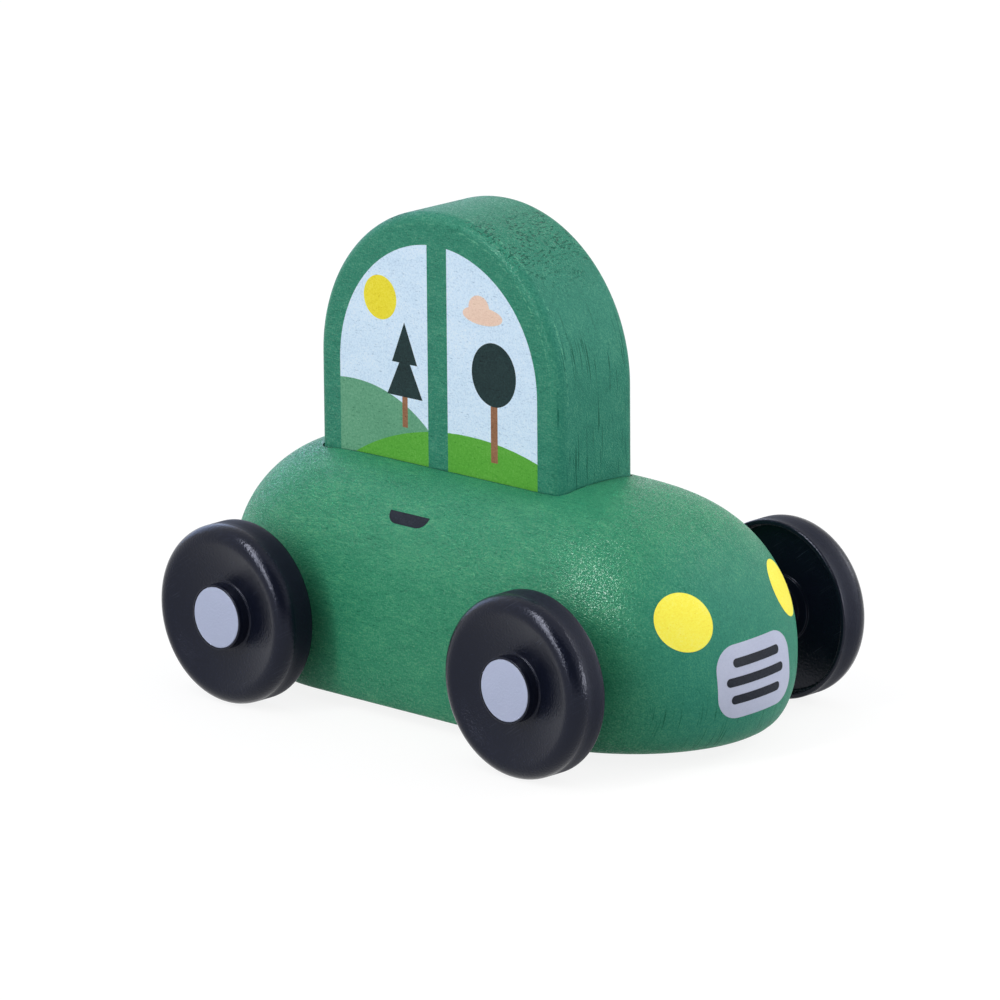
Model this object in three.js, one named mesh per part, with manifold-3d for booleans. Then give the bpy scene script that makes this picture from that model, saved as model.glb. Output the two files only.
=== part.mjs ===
// A wooden toy car: a domed body block with a round-topped cab block doweled into its crown,
// and two steel axles that turn in the body, each pressed into a pair of moulded wheels.
// Millimetres. +X is the nose, +Y the left side, +Z up, and the floor is z = 0.

import * as THREE from 'three';
import { LoftGeometry } from 'three/addons/geometries/LoftGeometry.js';
import { mergeVertices } from 'three/addons/utils/BufferGeometryUtils.js';
import Module from 'manifold-3d';

const wasm = await Module();
wasm.setup();

// Body block
const bodyLength = 108.4;
const bodyWidth = 48;
const bodyHeight = 38;
const groundClearance = 1.9;
const waistHeight = 9.5; // the widest level, above the underside
const endTuck = 6; // how far nose and tail draw in below the waist
const sillTuck = 1.7; // the same at the sides
const hoodLength = 30.9; // nose tip back to the level crown
const bootLength = 22.8; // tail forward to the level crown
const cornerLength = 29.3; // the rounded stretch of each side, seen from above
const crownFlat = 2.4; // width of the strip left level along the crown
const endRoundness = 2.05; // superellipse exponents: 2 is an ellipse, more is squarer
const sideRoundness = 2.7;
const cornerRoundnessLow = 2.05;
const cornerRoundnessHigh = 2.83;

// Cab block
const cabLength = 54.2;
const cabThickness = 17.8;
const cabRise = 41.7; // roof above the body's crown
const cabSetback = 7.6; // cab centre behind the body's centre
const cabEdgeRound = 1.9;
const pocketDepth = 4; // the cab's foot is let into the crown by this much

// Dowels that hold the cab
const dowelDiameter = 8;
const dowelLength = 24;
const dowelSpacing = 27;

// Axles
const wheelbase = 64.6;
const axleDiameter = 4;

// Wheels
const wheelDiameter = 30;
const tyreWidth = 6.6;
const capTrack = 71.8; // outer face of one hub cap to the other
const hubProud = 0.8; // hub cap beyond the tyre's outer crest
const outerShoulderFall = 2.3; // radial and axial size of each tyre shoulder
const outerShoulderReach = 2.6;
const innerShoulderFall = 0.35;
const innerShoulderReach = 0.35;
const rimLip = 0.5;
const webDepth = 5.4; // back of the web, in from the hub cap's face
const bossWall = 0.3;
const collarStep = 0.22;
const collarDepth = 2.05;
const faceDepth = 2.25; // the face's level ring round the boss, in from the hub cap's face
const faceEase = 0.36; // share of the face's width, out from the boss, where it turns up to the crest
const crestTurn = THREE.MathUtils.degToRad(16); // how far the shoulder's curve runs on into the face
const innerHubDiameter = 7.6; // spacer that keeps the wheel off the body
const innerBossDiameter = 11.2;
const innerBossRise = 0.5;

// Hub caps
const capDiameter = 10.2;
const capThickness = 1.2;
const capSpigotLength = 3;

// Clearances
const fitGap = 0.05; // pressed pieces, each side
const glueGap = 0.1; // glued wood, each side
const runningGap = 0.1; // axle in its bore, each side
const sideGap = 0.35; // inner hub to the body's side

// Facets
const roundSegments = 32;
const cornerSegments = 10;
const straightSegments = 4;
const waistLevels = 4;
const domeLevels = 16;
const archSegments = 20;
const edgeSegments = 3;
const curveSegments = 3;
const mergeTolerance = 1e-3;

// Places worked out from those sizes
const halfLength = bodyLength / 2;
const halfWidth = bodyWidth / 2;
const waistLevel = groundClearance + waistHeight;
const crownLevel = groundClearance + bodyHeight;
const domeHeight = crownLevel - waistLevel;
const pocketFloor = crownLevel - pocketDepth;
const cabFoot = pocketFloor + glueGap;
const cabRoof = crownLevel + cabRise;
const wheelRadius = wheelDiameter / 2;
const axleRadius = axleDiameter / 2;
const capPlane = capTrack / 2;
const axlePlaces = { front: wheelbase / 2, rear: -wheelbase / 2 };
const dowelPlaces = { front: -cabSetback + dowelSpacing / 2, rear: -cabSetback - dowelSpacing / 2 };

const greenWood = new THREE.MeshStandardMaterial({ color: 0x448a6d, roughness: 0.62, metalness: 0 });
const bareWood = new THREE.MeshStandardMaterial({ color: 0xd8b98a, roughness: 0.75, metalness: 0 });
const blackPlastic = new THREE.MeshStandardMaterial({ color: 0x25262f, roughness: 0.45, metalness: 0 });
const greyPlastic = new THREE.MeshStandardMaterial({ color: 0xaab1cb, roughness: 0.5, metalness: 0 });
const steel = new THREE.MeshStandardMaterial({ color: 0x9a9da1, roughness: 0.3, metalness: 1 });

// A closed three.js geometry as a manifold solid, for cutting.
function solidFrom(geometry) {
  const bare = new THREE.BufferGeometry().copy(geometry);
  bare.deleteAttribute('normal');
  bare.deleteAttribute('uv');
  const merged = mergeVertices(bare, mergeTolerance);
  return new wasm.Manifold(new wasm.Mesh({
    numProp: 3,
    vertProperties: new Float32Array(merged.attributes.position.array),
    triVerts: new Uint32Array(merged.index.array),
  }));
}

function geometryFrom(solid) {
  const mesh = solid.getMesh();
  const geometry = new THREE.BufferGeometry();
  geometry.setAttribute('position', new THREE.Float32BufferAttribute(mesh.vertProperties, 3));
  geometry.setIndex(new THREE.Uint32BufferAttribute(mesh.triVerts, 1));
  geometry.computeVertexNormals();
  return geometry;
}

function cut(geometry, tools) {
  const solid = tools.reduce((left, tool) => left.subtract(solidFrom(tool)), solidFrom(geometry));
  return geometryFrom(solid);
}

// The reach of an end or a side at a level: drawn in below the waist, and a superellipse above it
// that falls from the full reach to where the crown is level.
function reachAt(level, fullReach, tuck, crownReach, roundness) {
  if (level < waistLevel) {
    const drop = (waistLevel - level) / waistHeight;
    return fullReach - tuck * (1 - Math.sqrt(Math.max(0, 1 - drop * drop)));
  }
  const rise = (level - waistLevel) / domeHeight;
  const share = Math.max(0, 1 - rise ** roundness) ** (1 / roundness);
  return crownReach + (fullReach - crownReach) * share;
}

// One level of the body seen from above, counterclockwise from the nose tip.
function bodySection(level) {
  const nose = reachAt(level, halfLength, endTuck, halfLength - hoodLength, endRoundness);
  const tail = reachAt(level, halfLength, endTuck, halfLength - bootLength, endRoundness);
  const side = reachAt(level, halfWidth, sillTuck, 0, sideRoundness);
  const straightShare = 1 - cornerLength / halfLength;
  const height = (level - groundClearance) / bodyHeight;
  const roundness = cornerRoundnessLow + (cornerRoundnessHigh - cornerRoundnessLow) * height;
  const corner = (reach, turn) => [
    reach * (straightShare + (1 - straightShare) * Math.cos(turn) ** (2 / roundness)),
    side * Math.sin(turn) ** (2 / roundness),
  ];
  const left = [];
  for (let i = 0; i <= cornerSegments; i++) {
    left.push(corner(nose, (i / cornerSegments) * (Math.PI / 2)));
  }
  for (let i = 1; i < straightSegments; i++) {
    const along = THREE.MathUtils.lerp(nose, -tail, i / straightSegments) * straightShare;
    left.push([along, side]);
  }
  for (let i = cornerSegments; i >= 0; i--) {
    const [along, across] = corner(tail, (i / cornerSegments) * (Math.PI / 2));
    left.push([-along, across]);
  }
  const right = left.slice(1, -1).reverse().map(([along, across]) => [along, -across]);
  return [...left, ...right].map(([along, across]) => new THREE.Vector3(along, across, level));
}

// Levels close up toward the underside's edge and toward the crown.
function bodyLevels() {
  const levels = [];
  for (let i = 0; i < waistLevels; i++) {
    levels.push(waistLevel - waistHeight * Math.cos((i / waistLevels) * (Math.PI / 2)));
  }
  const lastRise = (1 - (crownFlat / bodyWidth) ** sideRoundness) ** (1 / sideRoundness);
  const lastTurn = Math.asin(lastRise);
  for (let i = 0; i <= domeLevels; i++) {
    levels.push(waistLevel + domeHeight * Math.sin((i / domeLevels) * lastTurn));
  }
  return levels;
}

// A rounded rectangle centred on the origin.
function roundedRectangle(length, width, radius) {
  const x = length / 2 - radius;
  const y = width / 2 - radius;
  const shape = new THREE.Shape();
  shape.absarc(x, y, radius, 0, Math.PI / 2);
  shape.absarc(-x, y, radius, Math.PI / 2, Math.PI);
  shape.absarc(-x, -y, radius, Math.PI, 1.5 * Math.PI);
  shape.absarc(x, -y, radius, 1.5 * Math.PI, 2 * Math.PI);
  shape.closePath();
  return shape;
}

// The pocket for the cab's foot, open past the crown.
function pocketTool() {
  const length = cabLength + 2 * glueGap;
  const width = cabThickness + 2 * glueGap;
  const outline = roundedRectangle(length, width, cabEdgeRound + glueGap);
  const tool = new THREE.ExtrudeGeometry(outline, {
    depth: cabRoof - pocketFloor, bevelEnabled: false, curveSegments: edgeSegments,
  });
  return tool.translate(-cabSetback, 0, pocketFloor);
}

// Both holes of a dowel in one tool: half in the body, half in the cab.
function dowelTool(along) {
  const radius = dowelDiameter / 2 + glueGap;
  const tool = new THREE.CylinderGeometry(radius, radius, dowelLength + 2 * glueGap, roundSegments);
  return tool.rotateX(Math.PI / 2).translate(along, 0, cabFoot);
}

function axleTool(along) {
  const radius = axleRadius + runningGap;
  const tool = new THREE.CylinderGeometry(radius, radius, bodyWidth + 2 * sideGap, roundSegments);
  return tool.translate(along, 0, wheelRadius);
}

function bodyBlock() {
  const block = new LoftGeometry(bodyLevels().map(bodySection), { capStart: true, capEnd: true });
  const tools = [pocketTool(), ...Object.values(dowelPlaces).map(dowelTool)];
  tools.push(...Object.values(axlePlaces).map(axleTool));
  return cut(block, tools);
}

// The cab seen from the side, inset by its edge round, which the bevel puts back.
function cabBlock() {
  const reach = cabLength / 2 - cabEdgeRound;
  const archLevel = cabRoof - cabLength / 2;
  const outline = new THREE.Shape();
  outline.moveTo(-reach, cabFoot + cabEdgeRound);
  outline.lineTo(reach, cabFoot + cabEdgeRound);
  outline.lineTo(reach, archLevel);
  outline.absarc(0, archLevel, reach, 0, Math.PI);
  outline.closePath();
  const block = new THREE.ExtrudeGeometry(outline, {
    depth: cabThickness - 2 * cabEdgeRound,
    bevelSize: cabEdgeRound,
    bevelThickness: cabEdgeRound,
    bevelSegments: edgeSegments,
    curveSegments: archSegments,
  });
  block.translate(-cabSetback, 0, cabEdgeRound - cabThickness / 2).rotateX(Math.PI / 2);
  return cut(block, Object.values(dowelPlaces).map(dowelTool));
}

function dowel() {
  const radius = dowelDiameter / 2;
  return new THREE.CylinderGeometry(radius, radius, dowelLength, roundSegments).rotateX(Math.PI / 2);
}

function axle() {
  const length = 2 * (capPlane - capThickness - capSpigotLength - fitGap);
  return new THREE.CylinderGeometry(axleRadius, axleRadius, length, roundSegments);
}

// A closed outline turned about Y, with the outline's y measured in from the hub cap's face.
function turned(outline) {
  const points = outline.getPoints(curveSegments).map((p) => new THREE.Vector2(p.x, capPlane - p.y));
  return new THREE.LatheGeometry(points, roundSegments);
}

// A left wheel about the car's centre line: tyre, dished web, stepped boss outside, spacer hub inside.
function wheel() {
  const bore = axleRadius + fitGap;
  const recess = capDiameter / 2 + fitGap;
  const recessDepth = capThickness + fitGap;
  const boss = recess + bossWall;
  const collar = boss + collarStep;
  const crest = wheelRadius - outerShoulderFall;
  const innerEdge = hubProud + tyreWidth;
  const rim = wheelRadius - innerShoulderFall;
  const cup = rim - rimLip;
  const innerHub = innerHubDiameter / 2;
  const innerBoss = innerBossDiameter / 2;
  const innerBossEnd = webDepth + innerBossRise;
  const innerHubEnd = capPlane - halfWidth - sideGap;
  const shoulderTurn = Math.PI / 2;
  const outline = new THREE.Path();
  outline.moveTo(bore, recessDepth);
  outline.lineTo(bore, innerHubEnd);
  outline.lineTo(innerHub, innerHubEnd);
  outline.lineTo(innerHub, innerBossEnd);
  outline.lineTo(innerBoss, innerBossEnd);
  outline.lineTo(innerBoss, webDepth);
  outline.lineTo(cup, webDepth);
  outline.lineTo(cup, innerEdge);
  outline.lineTo(rim, innerEdge);
  outline.absellipse(rim, innerEdge - innerShoulderReach, innerShoulderFall, innerShoulderReach,
    shoulderTurn, 0, true);
  outline.absellipse(crest, hubProud + outerShoulderReach, outerShoulderFall, outerShoulderReach,
    0, -shoulderTurn - crestTurn, true);
  const turnUp = THREE.MathUtils.lerp(collar, outline.currentPoint.x, faceEase);
  outline.quadraticCurveTo(turnUp, faceDepth, collar, faceDepth);
  outline.lineTo(collar, collarDepth);
  outline.lineTo(boss, collarDepth);
  outline.lineTo(boss, 0);
  outline.lineTo(recess, 0);
  outline.lineTo(recess, recessDepth);
  outline.closePath();
  return turned(outline);
}

// A left hub cap: a flat disc with a spigot in the wheel's bore.
function hubCap() {
  const outline = new THREE.Path();
  outline.moveTo(0, capThickness + capSpigotLength);
  outline.lineTo(axleRadius, capThickness + capSpigotLength);
  outline.lineTo(axleRadius, capThickness);
  outline.lineTo(capDiameter / 2, capThickness);
  outline.lineTo(capDiameter / 2, 0);
  outline.lineTo(0, 0);
  return turned(outline);
}

function named(name, geometry, material) {
  const mesh = new THREE.Mesh(geometry, material);
  mesh.name = name;
  return mesh;
}

const car = new THREE.Group();
car.name = 'toy_car';
car.add(named('body_block', bodyBlock(), greenWood));
car.add(named('cab_block', cabBlock(), greenWood));

for (const [end, along] of Object.entries(dowelPlaces)) {
  const pin = named(`cab_dowel_${end}`, dowel(), bareWood);
  pin.position.set(along, 0, cabFoot);
  car.add(pin);
}

// The right-hand wheel of each pair is the left one turned half round.
const sideTurns = { left: 0, right: Math.PI };
for (const [end, along] of Object.entries(axlePlaces)) {
  const wheelset = new THREE.Group();
  wheelset.position.set(along, 0, wheelRadius);
  wheelset.add(named(`${end}_axle`, axle(), steel));
  for (const [side, turn] of Object.entries(sideTurns)) {
    const tyre = named(`wheel_${end}_${side}`, wheel(), blackPlastic);
    const cap = named(`hub_cap_${end}_${side}`, hubCap(), greyPlastic);
    tyre.rotation.z = turn;
    cap.rotation.z = turn;
    wheelset.add(tyre, cap);
  }
  car.add(wheelset);
}

export default car;
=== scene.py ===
import bpy
import bmesh
import math
from mathutils import Matrix, Vector


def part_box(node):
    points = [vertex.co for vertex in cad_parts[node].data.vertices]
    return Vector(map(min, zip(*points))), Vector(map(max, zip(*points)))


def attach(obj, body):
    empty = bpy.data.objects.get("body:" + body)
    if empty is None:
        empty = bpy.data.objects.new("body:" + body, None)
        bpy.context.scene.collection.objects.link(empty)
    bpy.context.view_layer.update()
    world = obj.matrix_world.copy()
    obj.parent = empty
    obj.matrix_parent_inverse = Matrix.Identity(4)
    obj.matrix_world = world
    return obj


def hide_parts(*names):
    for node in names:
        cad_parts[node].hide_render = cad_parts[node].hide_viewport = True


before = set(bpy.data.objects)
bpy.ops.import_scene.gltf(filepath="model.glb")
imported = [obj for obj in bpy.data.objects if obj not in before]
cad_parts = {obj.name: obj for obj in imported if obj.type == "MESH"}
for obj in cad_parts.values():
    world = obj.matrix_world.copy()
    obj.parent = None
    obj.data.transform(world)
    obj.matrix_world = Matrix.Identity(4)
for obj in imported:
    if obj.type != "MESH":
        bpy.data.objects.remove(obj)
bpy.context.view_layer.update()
mm = 0.001
print("frame loaded:", len(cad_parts), "nodes")


# an sRGB colour code as linear light
def hexLinear(code):
    channels = [int(code[i:i + 2], 16) / 255 for i in (1, 3, 5)]
    linear = [c / 12.92 if c <= 0.04045 else ((c + 0.055) / 1.055) ** 2.4 for c in channels]
    return (*linear, 1.0)


# one shader node with its settings, and its sockets set to a value or linked to a node or a socket
def addNode(tree, kind, inputs=None, **settings):
    node = tree.nodes.new("ShaderNode" + kind)
    for key, value in settings.items():
        setattr(node, key, value)
    for key, value in (inputs or {}).items():
        if isinstance(value, bpy.types.Node):
            value = next(socket for socket in value.outputs if socket.enabled)
        if isinstance(value, bpy.types.NodeSocket):
            tree.links.new(value, node.inputs[key])
        else:
            node.inputs[key].default_value = value
    return node


def newMaterial(name):
    material = bpy.data.materials.new(name)
    material.use_nodes = True
    material.node_tree.nodes.clear()
    return material, material.node_tree


def finishMaterial(tree, shader):
    addNode(tree, "OutputMaterial", {"Surface": shader})


def newPiece(name, bm, *materials, smoothAngle=30):
    mesh = bpy.data.meshes.new(name)
    bm.to_mesh(mesh)
    bm.free()
    piece = bpy.data.objects.new(name, mesh)
    bpy.context.collection.objects.link(piece)
    for material in materials:
        mesh.materials.append(material)
    smoothShade(mesh, smoothAngle)
    return piece


def smoothShade(mesh, angle=30):
    mesh.polygons.foreach_set("use_smooth", [True] * len(mesh.polygons))
    mesh.set_sharp_from_angle(angle=math.radians(angle))
    mesh.update()


def copyPiece(piece):
    twin = piece.copy()
    twin.data = piece.data.copy()
    bpy.context.collection.objects.link(twin)
    return twin


def dropPiece(piece):
    mesh = piece.data
    bpy.data.objects.remove(piece)
    bpy.data.meshes.remove(mesh)


def dress(mesh, material):
    mesh.materials.clear()
    mesh.materials.append(material)


# a boolean with a helper solid, made final at once, and the helper thrown away
def cutWith(piece, tool, operation):
    step = piece.modifiers.new(operation, "BOOLEAN")
    step.operation = operation
    step.solver = "EXACT"
    step.object = tool
    depsgraph = bpy.context.evaluated_depsgraph_get()
    result = bpy.data.meshes.new_from_object(piece.evaluated_get(depsgraph))
    piece.modifiers.remove(step)
    spent = piece.data
    result.name = piece.name
    piece.data = result
    bpy.data.meshes.remove(spent)
    dropPiece(tool)


# the vertices, or the edges, in what an operator gives back
def pick(geom, kind=bmesh.types.BMVert):
    return [g for g in geom if isinstance(g, kind)]


def roundOff(bm, geom, offset, steps, affect="EDGES"):
    bmesh.ops.bevel(bm, geom=geom, offset=offset, offset_type="OFFSET", affect=affect,
                    segments=steps, profile=0.5, material=-1)


# gives flat faces a thickness, by the way and the distance that they are drawn out
def thicken(bm, reach):
    grown = bmesh.ops.extrude_face_region(bm, geom=bm.faces[:])["geom"]
    bmesh.ops.translate(bm, vec=reach, verts=pick(grown))
    bmesh.ops.recalc_face_normals(bm, faces=bm.faces)


# Wood and print

# the size of each figure in the wood along the car, across it and upright, and its detail
woodGrain = {
    "pore": (0.80 * mm, 0.20 * mm, 0.20 * mm, 2.0),      # short pores, drawn out along the car
    "fleck": (2.6 * mm, 0.55 * mm, 0.55 * mm, 2.0),      # pale rays between them
    "crack": (30 * mm, 0.32 * mm, 8.0 * mm, 2.0),        # fine checks between the yearly layers
    "cloud": (8.0 * mm, 4.0 * mm, 4.0 * mm, 3.0),        # uneven take of the dye
    "grit": (0.30 * mm, 0.26 * mm, 0.26 * mm, 1.0),      # fine fibres that catch the light
    "tear": (0.36 * mm, 0.75 * mm, 0.36 * mm, 2.0),      # fibres torn by the saw, across the board
}
# the figure that each mask follows, the values where it begins and is full, and what is left outside it
woodMasks = {
    "sawnEnd": ("endOn", 0.45, 0.85, 0.0),
    "square": ("endOn", 0.45, 0.70, 0.0),                # square enough to the grain for checks
    "steep": ("endOn", 0.10, 0.30, 0.0),
    "lying": ("upward", 0.60, 0.85, 0.6),
    "upper": ("upward", 0.50, 0.85, 0.0),
    "check": ("crack", 0.40, 0.30, 0.0),
    "dash": ("pore", 0.35, 0.27, 0.0),
    "tick": ("pore", 0.37, 0.27, 0.0),
    "torn": ("tear", 0.47, 0.35, 0.0),
    "patch": ("cloud", 0.36, 0.50, 0.0),
    # breaks up the painted shade along the seam round the cab's foot
    "seamShadeBreaks": ("fleck", 0.30, 0.50, 0.0),
}
# how far each figure and mark moves the tone, and what the lacquer makes of them
woodLook = {
    "weights": {"cloud": 0.5, "fleck": 0.6, "grit": 0.6, "pore": 1.0},
    "checkTone": -0.6, "checkLeast": 0.15, "dashTone": -0.5,
    "tornTone": -0.55, "tornRelief": -2.2,
    "grainRoughness": 0.55, "poreDepth": 0.08 * mm,
    "handledFrom": 0.15, "handledTo": 0.4, "sidePolish": 0.45,   # hands reach the upper faces most
    "glintFrom": 0.5, "glintTo": 0.66,
    "dullRough": 0.5, "glintRough": 0.16, "dullShine": 0.15, "glintShine": 0.72,
    "ior": 1.46,
}
inkLook = {"cloud": 0.3, "relief": 0.25, "roughness": 0.5, "shine": 0.14}


# every figure of the wood as a noise about 0.5, the place, the way the surface faces, and the masks
def woodFigure(tree):
    coords = addNode(tree, "TexCoord")
    figure = {"place": coords.outputs["Object"]}
    for name, (along, across, upright, detail) in woodGrain.items():
        scaled = addNode(tree, "Mapping", {
            "Vector": figure["place"], "Scale": (1 / along, 1 / across, 1 / upright)})
        figure[name] = addNode(tree, "TexNoise", {
            "Vector": scaled, "Scale": 1.0, "Detail": detail, "Roughness": woodLook["grainRoughness"]})
    normal = addNode(tree, "SeparateXYZ", {0: coords.outputs["Normal"]})
    figure["endOn"] = addNode(tree, "Math", {0: normal.outputs["X"]}, operation="ABSOLUTE")
    figure["upward"] = normal.outputs["Z"]
    for name, (source, begin, full, least) in woodMasks.items():
        figure[name] = addNode(tree, "MapRange", {
            "Value": figure[source], "From Min": begin, "From Max": full, "To Min": least})
    return figure


# a tone of 0.5 for the plain colour, moved by each figure's weight
def weighTone(tree, figure, weights):
    tone = 0.5 - 0.5 * sum(weights.values())
    for name, weight in weights.items():
        tone = addNode(tree, "Math", {0: figure[name], 1: weight, 2: tone}, operation="MULTIPLY_ADD")
    return tone


# from the deep shade at tone 0 through the plain one, a colour or a node, at 0.5 to the pale one at 1
def drawTone(tree, tone, deep, plain, pale):
    low = addNode(tree, "MapRange", {"Value": tone, "From Max": 0.5})
    high = addNode(tree, "MapRange", {"Value": tone, "From Min": 0.5})
    lower = addNode(tree, "Mix", {"Factor": low, "A": hexLinear(deep), "B": plain}, data_type="RGBA")
    return addNode(tree, "Mix", {"Factor": high, "A": lower, "B": hexLinear(pale)}, data_type="RGBA")


# adds a mark of its own strength to a tone, where both of its masks say so
def markTone(tree, tone, mask, where, strength):
    both = addNode(tree, "Math", {0: mask, 1: where}, operation="MULTIPLY")
    return addNode(tree, "Math", {0: both, 1: strength, 2: tone}, operation="MULTIPLY_ADD")


# checks in the sawn ends, plain below a level and faint above it
def endChecks(tree, figure, s):
    level = addNode(tree, "SeparateXYZ", {0: figure["place"]})
    below = addNode(tree, "MapRange", {
        "Value": level.outputs["Z"], "From Min": s["checkTop"] + s["checkFade"], "From Max": s["checkTop"],
        "To Min": woodLook["checkLeast"]})
    lowEnds = addNode(tree, "Math", {0: figure["square"], 1: below}, operation="MULTIPLY")
    return figure["check"], lowEnds


# pores as dark dashes, plainest where the surface lies level, and none on the sawn ends
def poreDashes(tree, figure):
    along = addNode(tree, "MapRange", {
        "Value": figure["sawnEnd"], "To Min": figure["lying"], "To Max": 0.0})
    return figure["dash"], along


# fibres that the saw tore, in patches on the shoulders of the arch
def tornFibres(tree, figure):
    slope = addNode(tree, "Math", {0: figure["steep"], 1: figure["upper"]}, operation="MULTIPLY")
    sawn = addNode(tree, "Math", {0: slope, 1: figure["patch"]}, operation="MULTIPLY")
    return figure["torn"], sawn


# pale lines where sanding broke the lacquer, along both borders of the arch's right edge, at the front
def edgeWear(tree, figure, s):
    spot = addNode(tree, "VectorMath", {
        0: figure["place"], 1: (s["middle"], 0, s["springing"])}, operation="SUBTRACT")
    part = addNode(tree, "SeparateXYZ", {0: spot})
    across = addNode(tree, "Math", {0: part.outputs["Y"], 1: -1.0}, operation="MULTIPLY")
    flat = addNode(tree, "CombineXYZ", {"X": part.outputs["X"], "Z": part.outputs["Z"]})
    outward = addNode(tree, "VectorMath", {0: flat}, operation="LENGTH")
    lines = []
    for distance, full in ((across, s["halfThickness"]), (outward, s["radius"])):
        line = addNode(tree, "Math", {0: distance, 1: full - s["edgeRound"], 2: s["wearWide"]},
                       operation="COMPARE")
        lines.append(line)
    either = addNode(tree, "Math", {0: lines[0], 1: lines[1]}, operation="MAXIMUM")
    ragged = addNode(tree, "Math", {0: figure["fleck"], 1: figure["tear"]}, operation="MULTIPLY")
    shown = addNode(tree, "MapRange", {
        "Value": ragged, "From Min": s["wearFrom"], "From Max": s["wearTo"]})
    for axis in ("X", "Z"):                              # the front half, above the legs
        fade = addNode(tree, "MapRange", {
            "Value": part.outputs[axis], "From Min": -s["wearFade"], "From Max": s["wearFade"]})
        shown = addNode(tree, "Math", {0: shown, 1: fade}, operation="MULTIPLY")
    return either, shown


# painted shade that darkens the body where the cab stands in it, by the distance from the cab's rounded
# sides
def paintedSeamShade(tree, figure, s):
    low, high, rounding = Vector(s["jointLow"]), Vector(s["jointHigh"]), s["jointRound"]
    spot = addNode(tree, "VectorMath", {0: figure["place"], 1: (low + high) / 2}, operation="SUBTRACT")
    apart = addNode(tree, "VectorMath", {0: spot}, operation="ABSOLUTE")
    half = (high - low) / 2 - Vector((rounding, rounding, rounding))
    beyond = addNode(tree, "VectorMath", {
        0: apart, 1: (half.x, half.y, 2 * half.z)}, operation="SUBTRACT")   # well below the crown
    outside = addNode(tree, "VectorMath", {0: beyond, 1: (0, 0, 0)}, operation="MAXIMUM")
    distance = addNode(tree, "VectorMath", {0: outside}, operation="LENGTH")
    close = addNode(tree, "MapRange", {
        "Value": distance, "From Min": rounding + s["seamShadeWide"], "From Max": rounding + s["seamShadeFull"]})
    return addNode(tree, "Math", {0: close, 1: figure["seamShadeBreaks"]}, operation="MULTIPLY")


# the lacquer's roughness and shine: small glints where hands polished it, and none on the sawn ends
def handPolish(tree, figure, topPolish):
    look = woodLook
    handled = addNode(tree, "MapRange", {
        "Value": figure["upward"], "From Min": look["handledFrom"], "From Max": look["handledTo"],
        "To Min": look["sidePolish"], "To Max": topPolish})
    polished = addNode(tree, "MapRange", {"Value": figure["sawnEnd"], "To Min": handled, "To Max": 0.0})
    glint = addNode(tree, "MapRange", {
        "Value": figure["grit"], "From Min": look["glintFrom"], "From Max": look["glintTo"],
        "To Max": polished})
    rough = addNode(tree, "MapRange", {
        "Value": glint, "To Min": look["dullRough"], "To Max": look["glintRough"]})
    shine = addNode(tree, "MapRange", {
        "Value": glint, "To Min": look["dullShine"], "To Max": look["glintShine"]})
    return rough, shine


# Beech under thin satin lacquer: dye takes unevenly, so the pores show as short light and dark
# dashes along the car, as checks on the sawn ends, and as grit in the highlights
def stainedBeech(name, s):
    look = woodLook
    material, tree = newMaterial(name)
    figure = woodFigure(tree)
    tone = weighTone(tree, figure, look["weights"])
    show = addNode(tree, "MapRange", {
        "Value": figure["sawnEnd"], "To Min": s["sideShow"], "To Max": s["endShow"]})
    about = addNode(tree, "Math", {0: tone, 1: 0.5}, operation="SUBTRACT")
    tone = addNode(tree, "Math", {0: about, 1: show, 2: 0.5}, operation="MULTIPLY_ADD")
    tone = markTone(tree, tone, *endChecks(tree, figure, s), look["checkTone"])
    tone = markTone(tree, tone, *poreDashes(tree, figure), look["dashTone"])
    relief = addNode(tree, "Math", {0: figure["pore"], 1: figure["grit"]}, operation="ADD")
    if "wearTone" in s:
        torn = tornFibres(tree, figure)
        tone = markTone(tree, tone, *torn, look["tornTone"])
        relief = markTone(tree, relief, *torn, look["tornRelief"])
        tone = markTone(tree, tone, *edgeWear(tree, figure, s), s["wearTone"])
    dyed = addNode(tree, "Mix", {
        "Factor": figure["sawnEnd"], "A": hexLinear(s["plain"]), "B": hexLinear(s["endPlain"])},
        data_type="RGBA")
    colour = drawTone(tree, tone, s["deep"], dyed, s["pale"])
    # painted shade on the body along the seam round the cab's foot
    if "seamShadeColour" in s:
        colour = addNode(tree, "Mix", {
            "Factor": paintedSeamShade(tree, figure, s), "A": colour, "B": hexLinear(s["seamShadeColour"])}, data_type="RGBA")
    rough, shine = handPolish(tree, figure, s["topPolish"])
    bump = addNode(tree, "Bump", {"Height": relief, "Distance": look["poreDepth"], "Strength": 1.0})
    shader = addNode(tree, "BsdfPrincipled", {
        "Base Color": colour, "Roughness": rough, "Normal": bump,
        "IOR": look["ior"], "Specular IOR Level": shine})
    finishMaterial(tree, shader)
    return material


# Ink printed on the dyed wood: flat and matt, with the pores below breaking it into ticks
def printedInk(name, deep, plain, pale, poreShow=0.5):
    material, tree = newMaterial(name)
    figure = woodFigure(tree)
    tone = weighTone(tree, figure, {"cloud": inkLook["cloud"], "tear": poreShow, "grit": poreShow})
    tone = markTone(tree, tone, figure["tick"], 1.0, -poreShow)
    bump = addNode(tree, "Bump", {
        "Height": figure["pore"], "Distance": woodLook["poreDepth"], "Strength": inkLook["relief"]})
    shader = addNode(tree, "BsdfPrincipled", {
        "Base Color": drawTone(tree, tone, deep, hexLinear(plain), pale),
        "Roughness": inkLook["roughness"], "Normal": bump,
        "IOR": woodLook["ior"], "Specular IOR Level": inkLook["shine"]})
    finishMaterial(tree, shader)
    return material


# Plastic and steel

mouldGrain = {
    "spark": 0.36 * mm, "sparkDepth": 0.070 * mm,        # spark-eroded mould, drawn coarse enough to show
    "relief": 0.8, "ior": 1.5,
    "handling": 5 * mm, "handledFrom": 0.35, "handledTo": 0.65,
    "scuffLong": 7 * mm, "scuffWide": 0.16 * mm, "scuffLean": math.radians(35),
}
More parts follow.
